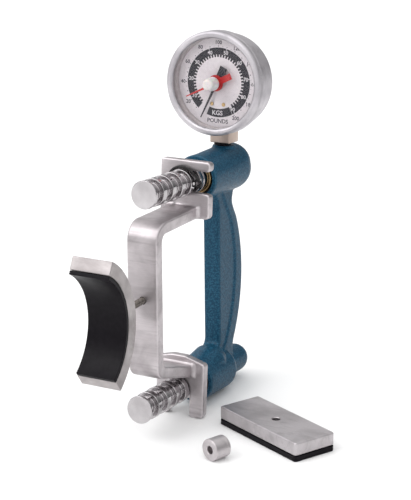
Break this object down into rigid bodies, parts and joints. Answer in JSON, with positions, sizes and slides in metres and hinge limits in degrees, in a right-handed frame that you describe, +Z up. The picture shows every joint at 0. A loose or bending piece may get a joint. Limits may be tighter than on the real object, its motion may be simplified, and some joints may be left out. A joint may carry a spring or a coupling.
{
  "type": "hand dynamometer",
  "caption": "Hydraulic grip and push force gauge: two grooved posts on a cast grip with a round dial, a clip-on bracket with a curved pad, and a flat and a round spare pad.",
  "frame": {"origin": "on the table, at the middle of the base of the box around the instrument and its two loose pads", "axes": "+Z up; +Y from the free ends of the posts to the palm side of the grip; +X across the grip to the side where the loose pads lie"},
  "size_m": [0.1582, 0.213, 0.262],
  "materials": {
    "blue_paint": "blue hammertone enamel on a casting",
    "cast_aluminium": "tumbled and hand-finished",
    "chrome": "polished, turned",
    "satin_steel": "satin",
    "brass": "machined",
    "copper": "drawn phosphor bronze",
    "black_rubber": "smooth",
    "black_steel": "black oxide",
    "black_paint": "satin black enamel",
    "red_paint": "red enamel",
    "white_metal": "matt white enamel",
    "clear_glass": "clear",
    "clear_plastic": "milky clear"
  },
  "bodies": {
    "instrument": {"body_casting": "blue_paint", "lower_post": "chrome", "guide_bush": "brass", "gland_ring": "black_steel", "lower_dust_seal": "black_rubber", "lower_post_set_screw": "black_steel", "gauge_stem": "brass", "stem_o_ring": "black_rubber", "gauge_case": "satin_steel", "gauge_bezel": "satin_steel", "gauge_lens": "clear_glass", "lens_gasket": "black_rubber", "dial_spacer_ring": "white_metal", "dial_plate": "white_metal", "dial_screw_left": "brass", "dial_screw_right": "brass", "bourdon_tube": "copper", "movement_front_plate": "brass", "movement_back_plate": "brass", "hairspring": "copper"},
    "piston_post": {"upper_post": "chrome", "piston_seal": "black_rubber"},
    "bracket": {"push_bracket": "cast_aluminium", "pad_stud": "black_steel", "clip_screw": "black_steel"},
    "clip": {"retaining_clip": "black_steel"},
    "curved_pad": {"curved_pad_plate": "cast_aluminium", "curved_pad_rubber": "black_rubber"},
    "pointer": {"live_pointer": "black_paint", "pointer_arbor": "brass"},
    "sector": {"sector_gear": "brass", "connecting_link": "black_steel"},
    "peak_hand": {"peak_pointer": "red_paint", "peak_reset_knob": "clear_plastic"},
    "flat_pad": {"flat_pad_block": "cast_aluminium", "flat_pad_rubber": "black_rubber"},
    "round_pad": {"button_pad": "cast_aluminium"}
  },
  "joints": [
    {"name": "post_press", "type": "slide", "parent": "instrument", "child": "piston_post", "axis": [0, 0.9984, -0.0557], "range_m": [0, 0.0015], "stiffness_N_per_m": 20000},
    {"name": "bracket_tilt", "type": "hinge", "parent": "instrument", "child": "bracket", "pos_m": [-0.04282, 0.01206, 0.01895], "axis": [1, 0, 0], "range_deg": [-0.6, 0]},
    {"name": "clip_flex", "type": "hinge", "parent": "bracket", "child": "clip", "pos_m": [-0.05622, 0.01525, 0.166], "axis": [0, 0.9984, -0.0557], "range_deg": [-7, 0], "stiffness_Nm_per_rad": 0.05},
    {"name": "pad_swivel", "type": "hinge", "parent": "bracket", "child": "curved_pad", "pos_m": [-0.04282, -0.0356, 0.09761], "axis": [0, -0.9999, -0.0159], "range_deg": [-90, 90]},
    {"name": "pointer_turn", "type": "hinge", "parent": "instrument", "child": "pointer", "pos_m": [-0.04282, 0.02371, 0.22782], "axis": [0, 0.9984, -0.0557], "range_deg": [0, 301]},
    {"name": "sector_turn", "type": "hinge", "parent": "instrument", "child": "sector", "pos_m": [-0.02421, 0.02333, 0.22106], "axis": [0, 0.9984, -0.0557], "range_deg": [-27, 0]},
    {"name": "peak_hand_turn", "type": "hinge", "parent": "instrument", "child": "peak_hand", "pos_m": [-0.04282, 0.02371, 0.22782], "axis": [0, 0.9984, -0.0557], "range_deg": [-38.9, 261]},
    {"name": "flat_pad_lift", "type": "slide", "parent": "instrument", "child": "flat_pad", "axis": [0, 0, 1], "range_m": [0, 0.08]},
    {"name": "round_pad_lift", "type": "slide", "parent": "instrument", "child": "round_pad", "axis": [0, 0, 1], "range_m": [0, 0.08]}
  ],
  "couplings": [
    {"joint": "bracket_tilt", "follows": "post_press", "rad_per_m": -6.8259},
    {"joint": "pointer_turn", "follows": "post_press", "rad_per_m": 3490.7},
    {"joint": "sector_turn", "follows": "post_press", "rad_per_m": -310.28}
  ]
}
